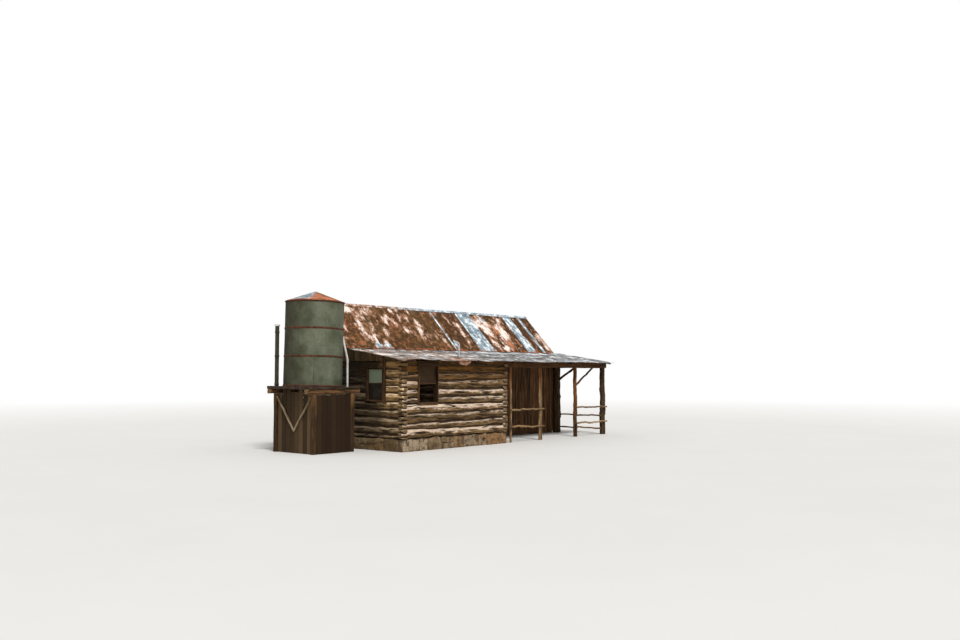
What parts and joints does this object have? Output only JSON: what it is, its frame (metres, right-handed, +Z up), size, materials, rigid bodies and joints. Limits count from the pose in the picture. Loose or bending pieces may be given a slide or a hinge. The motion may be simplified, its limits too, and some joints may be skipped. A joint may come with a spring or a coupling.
{
  "type": "log cabin",
  "caption": "Old log cabin with notched hewn-log walls, steep rusty iron gable roof, low front roof over a room and pole porch, and a round iron water tank on a timber stand.",
  "frame": {"origin": "middle of the plan, on the ground", "axes": "+X to the right along the front, towards the porch end; +Y to the back; +Z up; the front with the window and porch faces -Y"},
  "size_m": [11.95, 4.686, 4.2452],
  "materials": {
    "stone": "rough fieldstone",
    "logs": "hewn, weathered",
    "dark_timber": "weathered dark",
    "boards": "rough sawn, weathered",
    "poles": "peeled poles, weathered",
    "window_timber": "old planed timber",
    "teal_pane": "dull, dusty",
    "rusty_iron": "rusted corrugated iron",
    "grey_iron": "weathered galvanised iron",
    "tank_iron": "dull weathered galvanised iron",
    "rust_bands": "rusty seams",
    "white_pipe": "chalky"
  },
  "bodies": {
    "root": {"back_wall_logs": "logs", "back_wall_plate": "logs", "cross_footings": "stone", "floor_boards": "boards", "floor_sill": "dark_timber", "front_wall_long_logs": "logs", "front_wall_window_logs": "logs", "front_window_sash": "window_timber", "gable_boards": "boards", "junction_beams": "dark_timber", "junction_posts": "dark_timber", "lean_to_end_boards": "boards", "left_wall_long_logs": "logs", "left_wall_window_logs": "logs", "long_footings": "stone", "low_roof_rafters": "dark_timber", "low_roof_sheets": "grey_iron", "pipe_cap": "white_pipe", "porch_end_tie": "dark_timber", "porch_header": "dark_timber", "porch_knee_braces": "dark_timber", "porch_posts": "poles", "porch_rails": "poles", "porch_wall_boards": "boards", "porch_wall_over_door": "boards", "ridge_board": "dark_timber", "ridge_cap": "grey_iron", "right_wall_logs": "logs", "room_end_wall_logs": "logs", "stand_beams": "dark_timber", "stand_boards": "boards", "stand_braces": "dark_timber", "stand_deck": "dark_timber", "stand_posts": "dark_timber", "standing_pipe": "tank_iron", "steep_roof_back_sheets": "rusty_iron", "steep_roof_front_sheets": "rusty_iron", "steep_roof_rafters": "dark_timber", "tank_bands": "rust_bands", "tank_bottom": "tank_iron", "tank_downpipe": "white_pipe", "tank_roof": "rusty_iron", "tank_shell": "tank_iron", "vent_pipe": "grey_iron", "window_frames": "window_timber", "window_panes": "teal_pane"}
  },
  "joints": []
}
